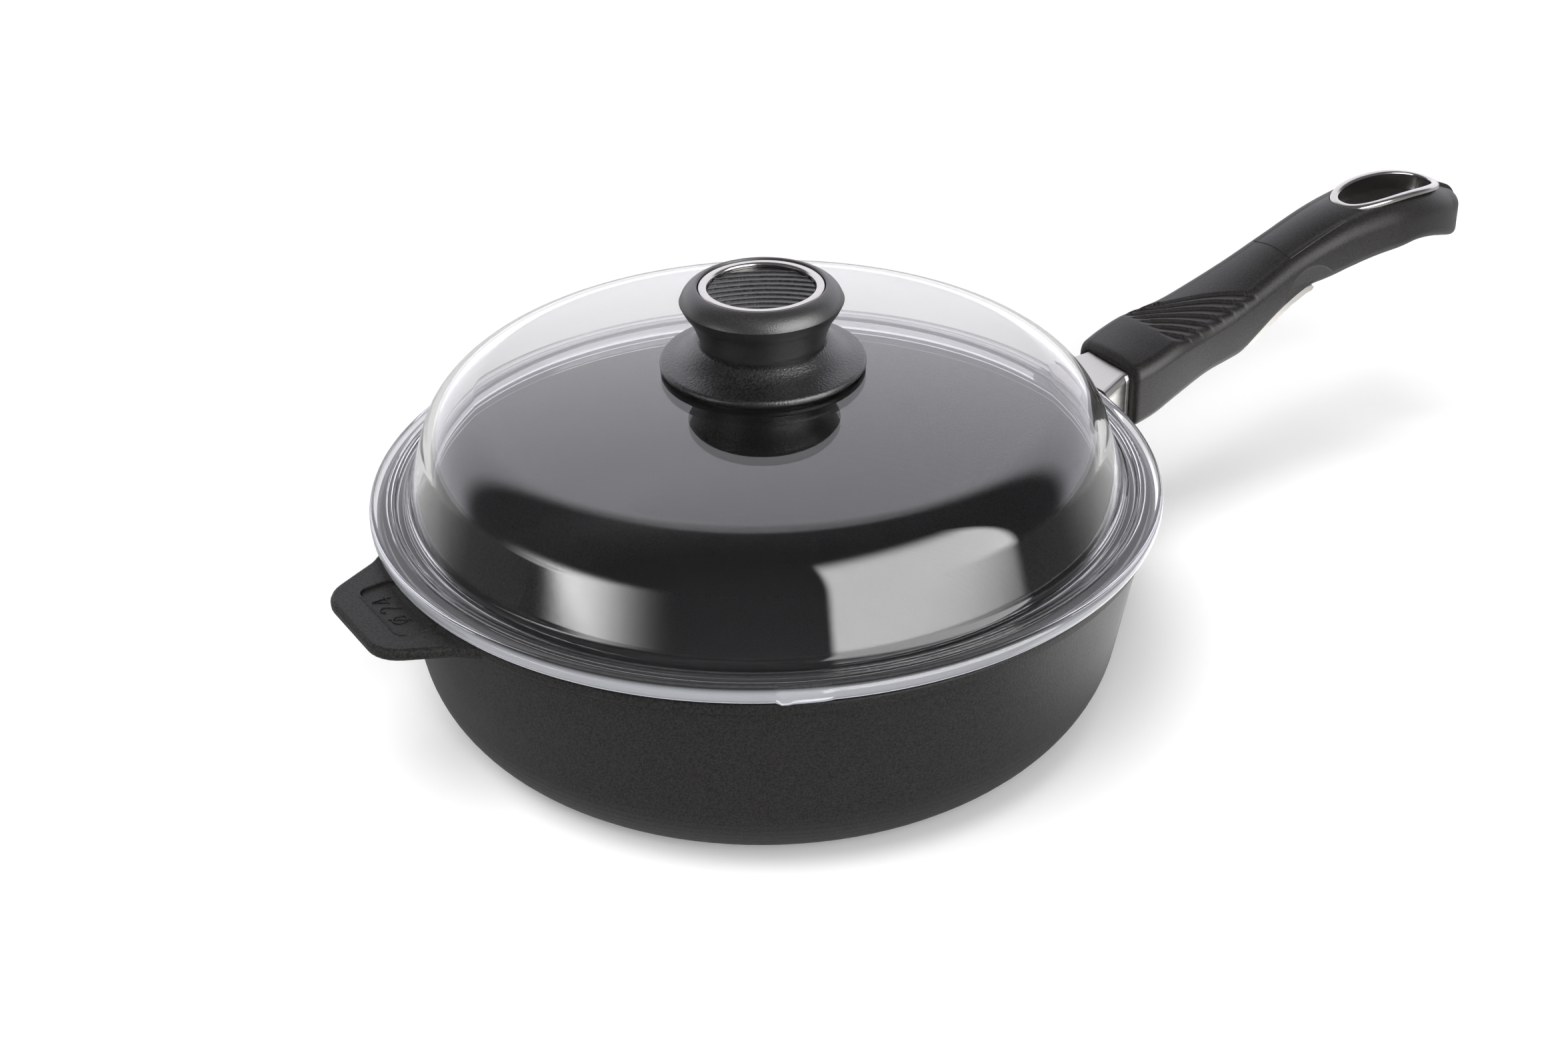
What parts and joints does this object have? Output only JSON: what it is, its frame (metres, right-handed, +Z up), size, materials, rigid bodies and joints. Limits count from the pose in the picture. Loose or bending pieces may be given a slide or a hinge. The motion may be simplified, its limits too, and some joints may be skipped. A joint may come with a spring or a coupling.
{
  "type": "deep frying pan with lid",
  "caption": "Deep round frying pan with a sloped wall, a cast helper lug, a domed glass lid with a round knob, and a long black handle that slides off its steel bracket.",
  "frame": {"origin": "centre of the pan's base, on the table", "axes": "+X towards the long handle, +Z up, +Y to the left when looking from the pan along the handle; the helper lug points to -X"},
  "size_m": [0.4545, 0.255, 0.1464],
  "materials": {
    "pan_coating": "cast aluminium with a matte near-black non-stick coating",
    "stainless_satin": "satin stainless steel",
    "stainless_polished": "polished stainless steel",
    "spring_steel": "plain spring steel",
    "lid_glass": "clear tempered glass, smooth",
    "gasket": "grey silicone rubber",
    "knob_coarse": "coarse-grained black phenolic",
    "knob_satin": "fine-grained satin black phenolic",
    "brass": "plain turned brass",
    "grip_plastic": "matte black phenolic"
  },
  "bodies": {
    "pan": {"pan_body": "pan_coating", "handle_bracket": "stainless_satin", "bracket_screw": "stainless_satin", "bracket_washer": "stainless_satin"},
    "lid": {"lid_glass": "lid_glass", "upper_gasket": "gasket", "lower_gasket": "gasket", "knob_base": "knob_coarse", "knob_body": "knob_satin", "knob_insert": "brass", "knob_ring": "stainless_polished", "knob_disc": "knob_coarse", "knob_washer": "stainless_satin", "knob_screw": "stainless_satin"},
    "handle": {"handle_grip": "grip_plastic", "hanging_ring": "stainless_polished", "latch_spring": "spring_steel", "spring_screw": "stainless_satin", "lever_pin": "stainless_satin"},
    "lever": {"release_lever": "stainless_satin"}
  },
  "joints": [
    {"name": "lid_lift", "type": "slide", "parent": "pan", "child": "lid", "axis": [0, 0, 1], "range_m": [0, 0.15]},
    {"name": "handle_slide", "type": "slide", "parent": "pan", "child": "handle", "axis": [0.9796, 0, 0.2011], "range_m": [0, 0.06], "deforming": ["latch_spring"]},
    {"name": "lever_press", "type": "hinge", "parent": "handle", "child": "lever", "pos_m": [0.19895, 0, 0.08278], "axis": [0, -1, 0], "range_deg": [0, 8], "stiffness_Nm_per_rad": 0.5, "springref_deg": -11.46, "deforming": ["latch_spring"]}
  ]
}
